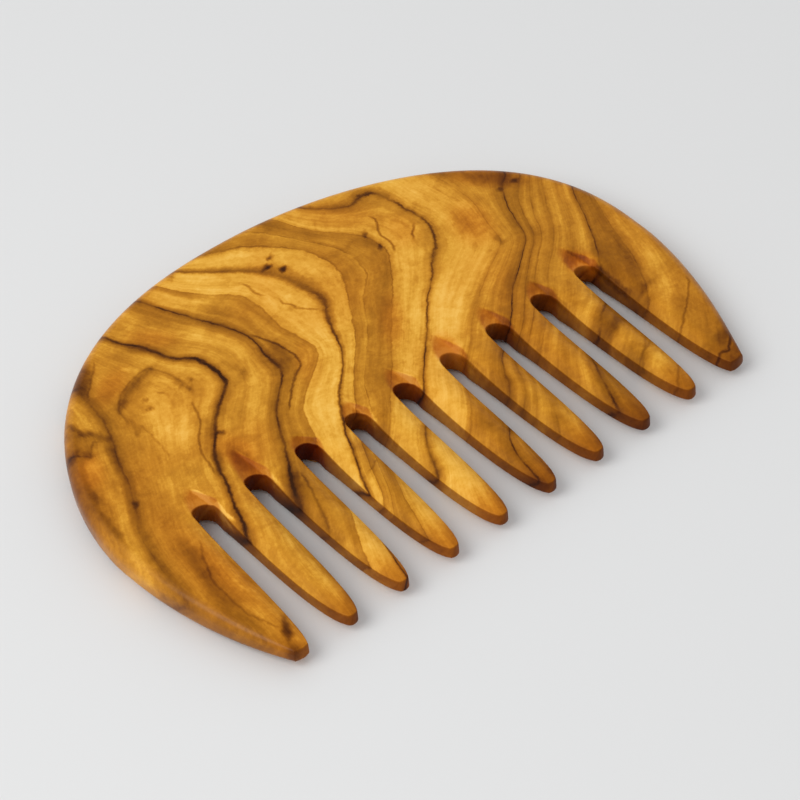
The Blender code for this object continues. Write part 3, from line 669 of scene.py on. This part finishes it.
# Cracks and side veins, and lines along the right-hand edges of the notches: weight, below zero for
# a pale line, which is a painted highlight on a worn arris, and the places in millimetres that each
# passes through
CRACKS_AND_HIGHLIGHTS_MM = (
    (1, ((-28, 26.8), (-26.4, 25.2), (-26.8, 23.5), (-25.9, 22), (-26.3, 20.2), (-25.5, 18.6),
         (-26.2, 17), (-26, 15), (-27.2, 13.6))),
    (0.6, ((-35.2, 15.5), (-37.3, 9.2), (-41, 5), (-43, 0.8), (-43.6, -2.4), (-44.4, -6))),
    (0.9, ((-13.6, 23), (-12.5, 19.5), *SIDE_VEIN_MM)),
    (0.8, ((29.2, 35.6), (29.7, 33.5), (27.9, 30.4), (26.9, 28.3), (27.2, 26.2), (26.6, 23.5),
           (25.6, 21.5))),
    (0.8, ((35.2, 26.6), (33.6, 25), (32.4, 23.8), (31.4, 21.8))),
    (0.55, ((66.5, -28), (65.7, -30.1), (61.5, -34.3), (58, -37), (54.2, -40.2))),
    (0.9, ((62, -47), (60.4, -49), (58.3, -50.4), (56.5, -49.8), (54.8, -52))),
    (0.4, ((48.5, -45.5), (47.3, -47), (44.1, -50), (43, -52))),
    (0.3, ((49, -36.8), (46, -38.6), (43.5, -39.6), (40.5, -41.5))),
    # The next four, with weight below zero, are pale lines on the right-hand arrises of four
    # notches towards the left end: painted highlight on the worn edge.
    (-0.9, ((-50.8, -5.2), (-49.7, -8.6), (-48.9, -12), (-48.7, -18.5))),
    (-0.35, ((-37.4, -2.5), (-36.3, -8.5), (-35.8, -11.5), (-35.8, -19))),
    (-0.4, ((-11.4, -8.2), (-10.3, -11), (-9.9, -13), (-9.9, -17))),
    (-0.4, ((1.2, -6.2), (2.8, -10.4), (3.1, -12.5), (3.1, -16))),
    (0.2, ((14.8, -5.2), (16, -9.6), (16.2, -12.5), (16.3, -21))),
    (0.2, ((27.8, -5.6), (29, -10), (29.2, -12.5), (29.2, -16))),
    (0.25, ((40.8, -6.6), (41.9, -10.5), (42.1, -13), (42.1, -18))),
    (0.45, ((52.9, -3.8), (54.6, -9), (55.1, -13), (55.3, -24))),
    (0.55, ((-5.4, 38), (-4.7, 35.4), (-4.9, 33.2), (-3.8, 30.2))),
    (0.55, ((-2.2, 28.2), (-2.5, 26), (-1.4, 24.3), (-1.2, 22.5), (0.2, 20.8), (2.2, 18.6))),
    (0.6, ((-39.2, 23.2), (-38.7, 22.2), (-37.8, 20.8))),
    (0.35, ((-67, 16.5), (-65.2, 19.2), (-63, 19.6), (-61.4, 17.6), (-60.4, 16.4), (-59.2, 18.2),
            (-57.4, 19.8), (-55.6, 18))),
    (0.3, ((-48.6, 20), (-48.3, 23.4), (-47, 25.6), (-44.6, 27.6), (-41.8, 29), (-38.6, 30.2),
           (-36, 30), (-34.6, 27.6), (-33.6, 24.6), (-33.2, 20.6))),
    (0.4, ((-43.2, 40.6), (-44.8, 38), (-47.4, 35.4), (-50.2, 32.4), (-51, 30.4))),
    (0.25, ((-47.4, 18), (-47.3, 13), (-47.8, 8), (-48.4, 4.6))),
    (0.4, ((-57.5, -18), (-59.9, -22.2), (-62.3, -29), (-62.3, -34), (-62, -39.6), (-60.4, -43.3),
           (-59.1, -47))),
    (0.5, ((-31, -17), (-33, -23.8), (-34.6, -29), (-36, -34))),
    (0.4, ((-21.5, -27), (-19.5, -26.4), (-17.5, -25), (-16, -24.6))),
)
MM = 0.001
RING_STEP_MM = 2.5
RING_SLANT = 0.35
RING_SMOOTHING = 5.0
POINTS_AT_ONCE = 20000
LINE_TAPER_MM = 1.5
LINE_REACH_MM = 1.2
LINE_LIMIT_MM = 2.0
FAR_OFF_MM = 9.0
FILED_LIMITS_MM = (-1.0, 2.0)
MERGE_REACH = 1e-7

# Ruffle of the stains' outlines: its size, and for each way how fast its sine turns, how far the
# sine is swayed, and how fast that sway turns
RUFFLE_MM = 0.22
RUFFLE_ACROSS = (2.3, 1.7, 1.1)
RUFFLE_ALONG = (2.9, 1.9, 1.3)


def walk_evenly(places, step):
    """Points along a line through the given places, about one step apart."""
    places = np.array(places, dtype=float)
    run = np.append(0.0, np.cumsum(np.hypot(*np.diff(places, axis=0).T)))
    at = np.linspace(0.0, run[-1], max(2, round(run[-1] / step) + 1))
    return np.stack([np.interp(at, run, places[:, 0]), np.interp(at, run, places[:, 1])], axis=-1)


def through_board(x, y, z):
    """Where a ring met at a point would cross the upper face, in mm: the rings slant, so it moves
    in proportion to the depth below that face."""
    return np.stack([x / MM + RING_SLANT * (THICKNESS - z) / MM, y / MM], axis=-1)


def plate_kernel(first, second):
    """Thin-plate kernel between two sets of points: their squared distance times its logarithm,
    halved. A trace is added to it, as the logarithm of nothing has no value."""
    trace = 1e-9
    squared = ((first[:, None] - second[None]) ** 2).sum(axis=-1)
    return 0.5 * squared * np.log(squared + trace)


def ring_levels(at):
    """Ring level at each point: a plane and a kernel on each knot along the veins, weighed so that
    the sheet bends least while it passes close by all the knots' levels."""
    walked = [(level, walk_evenly(places, RING_STEP_MM)) for level, places in RINGS_MM]
    levels = np.concatenate([np.full(len(line), level) for level, line in walked])
    x, y = np.concatenate([line for _, line in walked]).T * MM
    knots = through_board(x, y, HALF_THICKNESS + half_thickness(x + tooth_lean(y), y))
    count = len(knots)
    plane = np.column_stack([np.ones(count), knots])
    terms = plane.shape[1]
    matrix = np.zeros((count + terms, count + terms))
    matrix[:count, :count] = plate_kernel(knots, knots) + RING_SMOOTHING * np.eye(count)
    matrix[:count, count:] = plane
    matrix[count:, :count] = plane.T
    weights = np.linalg.solve(matrix, np.append(levels, np.zeros(terms)))
    parts = np.array_split(at, 1 + len(at) // POINTS_AT_ONCE)
    bend = np.concatenate([plate_kernel(part, knots) @ weights[:count] for part in parts])
    return bend + weights[count] + at @ weights[count + 1:]


def ruffle(along, across, turns, sway, sway_turns):
    """A sine along one way, whose phase is swayed by a sine across it."""
    return np.sin(turns * along + sway * np.sin(sway_turns * across))


def cloud_sum(table, at):
    """Sum of a table's clouds at each point: each is its strength times a bell across its turned
    ellipse, e to the minus third power of the distance in half-widths, with a ruffled outline."""
    x, y = at.T
    ruffled = np.stack([ruffle(y, x, *RUFFLE_ACROSS), ruffle(x, y, *RUFFLE_ALONG)], axis=-1)
    x, y = (at + RUFFLE_MM * ruffled).T
    total = np.zeros(len(at))
    for middle_x, middle_y, half_length, half_width, turn, strength in table:
        angle = math.radians(turn)
        off_x, off_y = x - middle_x, y - middle_y
        along = (off_x * math.cos(angle) + off_y * math.sin(angle)) / half_length
        across = (off_y * math.cos(angle) - off_x * math.sin(angle)) / half_width
        total += strength * np.exp(-(along ** 2 + across ** 2) ** 1.5)
    return total


def nearest_crack_and_highlight(at):
    """Signed distance in mm from each point to the nearest of the listed cracks, side veins and
    painted highlights, and the weight of that line.

    The distance is square to the line's nearest stretch, and its sign tells the side. The weight
    fades linearly towards the two ends of the line, and is nothing beyond its reach.
    """
    distance, weight = np.full(len(at), FAR_OFF_MM), np.zeros(len(at))
    for strength, places in CRACKS_AND_HIGHLIGHTS_MM:
        line = np.array(places)
        lengths = np.hypot(*np.diff(line, axis=0).T)
        starts = np.append(0.0, np.cumsum(lengths))
        for first, second, start, length in zip(line[:-1], line[1:], starts, lengths):
            way = (second - first) / length
            along = np.clip((at - first) @ way, 0.0, length)
            off = at - first - along[:, None] * way
            gap = np.hypot(*off.T)
            side = np.where(way[0] * off[:, 1] - way[1] * off[:, 0] < 0.0, -1.0, 1.0)
            run = start + along
            fade = np.clip(np.minimum(run, starts[-1] - run) / LINE_TAPER_MM, 0.0, 1.0)
            nearer = gap < np.abs(distance)
            distance = np.where(nearer, side * gap, distance)
            weight = np.where(nearer, strength * fade * (gap < LINE_REACH_MM), weight)
    return distance, weight


comb_mesh = bpy.data.meshes.new("olive_wood_comb")
comb_mesh.from_pydata(points, [], quads)
on_face = through_board(*points.T)
crack_and_highlight, crack_and_highlight_weight = nearest_crack_and_highlight(on_face)
fields = {
    "ring": ring_levels(on_face),
    "filed": np.clip(filed / MM, *FILED_LIMITS_MM),
    "soak_and_shade": soak_and_shade,
    "burnish": burnish,
    "stain_and_painted_light": cloud_sum(STAINS_AND_PAINTED_LIGHT_MM, on_face),
    "red": cloud_sum(REDS_MM, on_face).clip(0.0, 1.0),
    "fade": cloud_sum(FADES_MM, on_face).clip(0.0, 1.0),
    "crack_and_highlight": crack_and_highlight.clip(-LINE_LIMIT_MM, LINE_LIMIT_MM),
    "crack_and_highlight_weight": crack_and_highlight_weight,
}
for name, values in fields.items():
    layer = comb_mesh.attributes.new(name, "FLOAT", "POINT")
    layer.data.foreach_set("value", values.astype(np.float32))
work = bmesh.new()
work.from_mesh(comb_mesh)
bmesh.ops.remove_doubles(work, verts=work.verts, dist=MERGE_REACH)
work.to_mesh(comb_mesh)
work.free()
comb_mesh.shade_smooth()
comb = bpy.data.objects.new("olive_wood_comb", comb_mesh)
bpy.context.scene.collection.objects.link(comb)
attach(comb, "root")
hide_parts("comb")


# Oiled olive wood: honey ground, brown bands and near-black veins. It is rubbed with oil, which
# gives a satin sheen; the walls are darkened, partly for the oil deepening the end grain and partly
# as painted shade in the slots; filed facets are redder.
TONE_COLOURS = ((0.10, "#341802"), (0.30, "#532b04"), (0.45, "#734208"), (0.60, "#965e10"),
                (0.70, "#ae7119"), (0.80, "#c78825"), (0.86, "#d99c32"), (0.92, "#e6ac41"),
                (1.00, "#f1bd57"))
RED_TINT = "#f4dcc0"
FILED_TINT = "#d8b292"
# Tint that darkens the walls: partly oil in the end grain, partly painted shade in the slots
SOAK_AND_SHADE_TINT = "#8d5526"
# Tone of the wood along the ring levels
RING_TONES = (
    (-80, 0.58), (-77, 0.55), (-74, 0.68), (-70, 0.79), (-68.5, 0.77), (-66.5, 0.55), (-66, 0.57),
    (-64, 0.72), (-60, 0.76), (-56, 0.82), (-52, 0.84), (-50, 0.80), (-47.5, 0.83), (-46.4, 0.72),
    (-45.6, 0.50), (-45, 0.50), (-44.6, 0.68), (-43.5, 0.80), (-40.8, 0.80), (-38, 0.82),
    (-36, 0.83), (-34.5, 0.80), (-33, 0.70), (-32, 0.62), (-31.2, 0.50), (-30.8, 0.50), (-30, 0.62),
    (-29, 0.72), (-28, 0.70), (-26.5, 0.75), (-25.5, 0.78), (-24, 0.72), (-23.1, 0.70),
    (-22.7, 0.86), (-20, 0.90), (-17, 0.91), (-16.4, 0.84), (-15.9, 0.62), (-15.6, 0.62),
    (-14.6, 0.86), (-13, 0.88), (-12.2, 0.82), (-11.9, 0.70), (-10.5, 0.74), (-9.5, 0.78),
    (-8.8, 0.80), (-8.4, 0.74), (-7, 0.71), (-5, 0.68), (-3.2, 0.70), (-2.7, 0.80), (-1.8, 0.85),
    (0, 0.87), (4, 0.85), (5.4, 0.76), (6.1, 0.62), (6.4, 0.64), (7.2, 0.80), (8, 0.87), (10, 0.91),
    (14, 0.90), (17.5, 0.85), (19, 0.74), (21, 0.79), (25, 0.77), (27, 0.70), (29.5, 0.60),
    (30.6, 0.52), (30.9, 0.54), (31.5, 0.64), (33, 0.72), (34.8, 0.62), (36.5, 0.74), (38, 0.68),
    (39.5, 0.74), (40.5, 0.72), (42, 0.68), (43, 0.74), (46, 0.80), (48.5, 0.70), (51, 0.76),
    (53, 0.80), (54.5, 0.68), (55.8, 0.54), (56.2, 0.54), (57.5, 0.62), (60, 0.60), (62, 0.57),
    (63.3, 0.62), (63.9, 0.70), (65, 0.75), (70, 0.74), (75, 0.70), (78, 0.60),
)
# Veins along the ring levels: level, half-width and weight
VEINS = (
    (-66.5, 0.4, 0.4), (-45.3, 0.42, 1), (-31, 0.42, 1), (-23, 0.2, 0.25), (-15.8, 0.4, 0.9),
    (-11.9, 0.25, 0.3), (-8.5, 0.25, 0.3), (-3.1, 0.2, 0.4), (6.2, 0.36, 1), (19, 0.3, 0.2),
    (30.7, 0.32, 1), (34.8, 0.3, 0.35), (38, 0.3, 0.35), (42.3, 0.3, 0.3), (56, 0.36, 1),
    (63.4, 0.25, 0.35),
)
# A colour ramp has few stops, so the levels are read in zones
ZONE_ENDS = (-80.0, -48.5, -28.5, -12.4, 5.0, 33.0, 80.0)
# Patterns that shift the tone: size in mm, detail, roughness and distortion of a noise, its two
# limits, and the shift at each
NOISE_LIMITS = (0.25, 0.75)
TONE_PATTERNS = (
    (7.14, 4, 0.6, 0, NOISE_LIMITS, (-0.06, 0.06)),  # mottling: soft uneven patches
    (6.67, 3, 0.6, 0.6, (0.52, 0.60), (0.01, -0.03)),  # figure: patches with crisp limits
    (0.91, 3, 0.7, 0, NOISE_LIMITS, (-0.04, 0.04)),  # pores, drawn coarse enough to show
)
# Streaks along the fibres: width and length in mm, and the greatest shift of tone
STREAKS = ((1.7, 15, 0.055), (0.5, 5, 0.03))
# Sizes of the noises that bend the fibres, break up the veins and gather the reddish clouds
FIBRE_MM = 2.38
PATCH_MM = 5.26
CLOUD_MM = 22.2
FIBRE_WANDER_MM = 0.32
PATCH_LIMITS = (0.35, 0.65)
VEIN_DARKNESS = (0.08, 0.42)
LINE_HALF_WIDTH_MM = 0.45
LINE_STRENGTH = 0.34
CLOUD_LIMITS = (0.45, 0.75)
CLOUD_STRENGTH = 0.5
FILED_BLEND_MM = 0.20
FILED_STRENGTH = 0.85
# Specular level and roughness, on the sanded faces and on the burnished outer edge
SHEENS = (0.07, 0.16)
ROUGHNESSES = (0.42, 0.30)


def linear_colour(code):
    """Linear colour of an sRGB hex code: each channel over 12.92 if dark, else its offset 2.4th
    power."""
    channels = [int(code[place:place + 2], 16) / 255 for place in (1, 3, 5)]
    return [c / 12.92 if c <= 0.04045 else ((c + 0.055) / 1.055) ** 2.4 for c in channels] + [1.0]


def add_node(tree, kind, inputs=(), out=0, **settings):
    """Adds a node with its settings. Its inputs, by name or in order, are numbers or the sockets
    that feed them. Gives an output."""
    node = tree.nodes.new("ShaderNode" + kind)
    for name, value in settings.items():
        setattr(node, name, value)
    for key, value in inputs.items() if isinstance(inputs, dict) else enumerate(inputs):
        if isinstance(value, bpy.types.NodeSocket):
            tree.links.new(value, node.inputs[key])
        else:
            node.inputs[key].default_value = value
    return node.outputs[out]


def fill_ramp(ramp, stops):
    """Puts the stops, pairs of place and colour, onto a colour ramp."""
    while len(ramp.elements) > 1:
        ramp.elements.remove(ramp.elements[-1])
    for number, (place, colour) in enumerate(stops):
        stop = ramp.elements[0] if number == 0 else ramp.elements.new(place)
        stop.position = place
        stop.color = colour


def read_rings(tree, ring, stops):
    """Value of a table over the ring levels: straight lines between its stops, with one ramp for
    each zone of levels."""
    places, values = np.array(stops).T
    value = None
    for start, end in zip(ZONE_ENDS[:-1], ZONE_ENDS[1:]):
        first, last = np.interp((start, end), places, values)
        inside = [(place, amount) for place, amount in stops if start < place < end]
        zone = [(start, first)] + inside + [(end, last)]
        share = add_node(tree, "MapRange", (ring, start, end))
        inner = add_node(tree, "ValToRGB", (share,))
        fill_ramp(inner.node.color_ramp, [((place - start) / (end - start), (amount,) * 3 + (1.0,))
                                          for place, amount in zone])
        past = add_node(tree, "Math", (ring, start), operation="GREATER_THAN")
        value = inner if value is None else add_node(
            tree, "Mix", {"Factor": past, "A": value, "B": inner}, data_type="FLOAT")
    return value


# A Map Range node's inputs, in order, are a value, its two limits and what it becomes at each
material = bpy.data.materials.new("oiled_olive_wood")
material.use_nodes = True
tree = material.node_tree
shader = tree.nodes["Principled BSDF"]
place = add_node(tree, "TexCoord", out="Object")
field = {name: add_node(tree, "Attribute", out="Fac", attribute_name=name) for name in fields}

# Fibres wander a little, so each ring is a bit jagged
wander = add_node(tree, "TexNoise", {"Vector": place, "Scale": 1 / (FIBRE_MM * MM), "Detail": 5.0,
                                     "Roughness": 0.7})
wander_mm = add_node(tree, "MapRange", (wander, *NOISE_LIMITS, -FIBRE_WANDER_MM, FIBRE_WANDER_MM))
ring = add_node(tree, "Math", (field["ring"], wander_mm), operation="ADD")
tone = read_rings(tree, ring, RING_TONES)
# Stains add to the tone; some of them are painted light and shade at the slots' ends and notches.
tone = add_node(tree, "Math", (tone, field["stain_and_painted_light"]), operation="ADD")
for size_mm, detail, roughness, distortion, limits, shifts in TONE_PATTERNS:
    noise = add_node(tree, "TexNoise", {"Vector": place, "Scale": 1 / (size_mm * MM),
                                        "Detail": detail, "Roughness": roughness,
                                        "Distortion": distortion})
    shift = add_node(tree, "MapRange", (noise, *limits, *shifts))
    tone = add_node(tree, "Math", (tone, shift), operation="ADD")

# Streaks along the fibres: fine across the rings and long along them
along, upright = (add_node(tree, "SeparateXYZ", (place,), out=axis) for axis in "YZ")
for width_mm, length_mm, strength in STREAKS:
    lengths = 1 / (length_mm * MM)
    fibre = add_node(tree, "CombineXYZ", [
        add_node(tree, "Math", (way, turns), operation="MULTIPLY")
        for way, turns in ((ring, 1 / width_mm), (along, lengths), (upright, lengths))])
    streak = add_node(tree, "TexNoise", {"Vector": fibre, "Scale": 1.0, "Detail": 2.0,
                                         "Roughness": 0.55})
    shift = add_node(tree, "MapRange", (streak, *NOISE_LIMITS, -strength, strength))
    tone = add_node(tree, "Math", (tone, shift), operation="ADD")

# Veins: near-black lines between the rings, heavier in some places than in others
vein_stops = [stop for level, half_width, weight in VEINS
              for stop in ((level - half_width, 0.0), (level, weight), (level + half_width, 0.0))]
vein = read_rings(tree, ring, vein_stops)
patchy = add_node(tree, "TexNoise", {"Vector": place, "Scale": 1 / (PATCH_MM * MM), "Detail": 3.0})
darkness = add_node(tree, "MapRange", (patchy, *PATCH_LIMITS, *VEIN_DARKNESS))
kept = add_node(tree, "MapRange", (field["fade"], 0.0, 1.0, 1.0, 0.0))
darkness = add_node(tree, "Math", (darkness, kept), operation="MULTIPLY")
vein_dark = add_node(tree, "Math", (vein, darkness), operation="MULTIPLY")
tone = add_node(tree, "Math", (tone, vein_dark), operation="SUBTRACT")

# Cracks and side veins: thin jagged lines, darkest in the middle; a weight below zero makes the
# line pale instead, a painted highlight along a notch's worn arris
crack_and_highlight_off = add_node(tree, "Math", (field["crack_and_highlight"], wander_mm), operation="ADD")
crack_and_highlight_far = add_node(tree, "Math", (crack_and_highlight_off,), operation="ABSOLUTE")
crack_and_highlight_profile = add_node(tree, "MapRange", (crack_and_highlight_far, 0.0, LINE_HALF_WIDTH_MM, LINE_STRENGTH, 0.0))
crack_and_highlight_shift = add_node(tree, "Math", (crack_and_highlight_profile, field["crack_and_highlight_weight"]), operation="MULTIPLY")
tone = add_node(tree, "Math", (tone, crack_and_highlight_shift), operation="SUBTRACT")

colour = add_node(tree, "ValToRGB", (tone,))
fill_ramp(colour.node.color_ramp, [(at, linear_colour(code)) for at, code in TONE_COLOURS])

# Redder where the wood is stained and where it is filed, and darker on the walls, partly where they
# drink the oil and partly as painted shade in the slots
cloud = add_node(tree, "TexNoise", {"Vector": place, "Scale": 1 / (CLOUD_MM * MM), "Detail": 3.0})
cloud_share = add_node(tree, "MapRange", (cloud, *CLOUD_LIMITS, 0.0, CLOUD_STRENGTH))
red_share = add_node(tree, "Math", (field["red"], cloud_share), operation="MAXIMUM")
filed_share = add_node(tree, "MapRange", (field["filed"], -FILED_BLEND_MM, FILED_BLEND_MM,
                                          0.0, FILED_STRENGTH))
for share, code in ((red_share, RED_TINT), (filed_share, FILED_TINT),
                    (field["soak_and_shade"], SOAK_AND_SHADE_TINT)):
    colour = add_node(tree, "Mix", {0: share, 6: colour, 7: linear_colour(code)}, out=2,
                      data_type="RGBA", blend_type="MULTIPLY")
tree.links.new(colour, shader.inputs["Base Color"])

# The flat faces are sanded matt; the rounded outer edge is burnished by the hand
for name, ends in (("Specular IOR Level", SHEENS), ("Roughness", ROUGHNESSES)):
    finish = add_node(tree, "MapRange", (field["burnish"], 0.0, 1.0, *ends))
    tree.links.new(finish, shader.inputs[name])
comb_mesh.materials.append(material)


# Floor and light: a plain pale floor, a bright pale surround, and one broad soft light overhead
# and to the left.
FLOOR_HALF = 0.9
FLOOR_COLOUR = "#dddddc"
SURROUND_COLOUR = "#fcfdff"
SURROUND_STRENGTH = 0.74
LAMP_PLACE = (-0.80, 0.05, 0.90)
LAMP_SIZE = 0.9
LAMP_WATTS = 7.0

floor_mesh = bpy.data.meshes.new("floor")
corners = [(x * FLOOR_HALF, y * FLOOR_HALF, 0) for x, y in ((-1, -1), (1, -1), (1, 1), (-1, 1))]
floor_mesh.from_pydata(corners, [], [(0, 1, 2, 3)])
floor = bpy.data.objects.new("floor", floor_mesh)
bpy.context.scene.collection.objects.link(floor)
floor_material = bpy.data.materials.new("pale_floor")
floor_material.use_nodes = True
floor_shader = floor_material.node_tree.nodes["Principled BSDF"]
floor_shader.inputs["Base Color"].default_value = linear_colour(FLOOR_COLOUR)
floor_shader.inputs["Roughness"].default_value = 0.8
floor_mesh.materials.append(floor_material)

lamp = bpy.data.objects.new("soft_light", bpy.data.lights.new("soft_light", "AREA"))
lamp.data.shape = "DISK"
lamp.data.size = LAMP_SIZE
lamp.data.energy = LAMP_WATTS
lamp.matrix_world = (Matrix.Translation(LAMP_PLACE)
                     @ Vector(LAMP_PLACE).to_track_quat("Z", "Y").to_matrix().to_4x4())
bpy.context.scene.collection.objects.link(lamp)
world = bpy.data.worlds.new("surround")
world.use_nodes = True
surround = world.node_tree.nodes["Background"]
surround.inputs["Color"].default_value = linear_colour(SURROUND_COLOUR)
surround.inputs["Strength"].default_value = SURROUND_STRENGTH
bpy.context.scene.world = world
bpy.context.scene.view_settings.view_transform = "Standard"
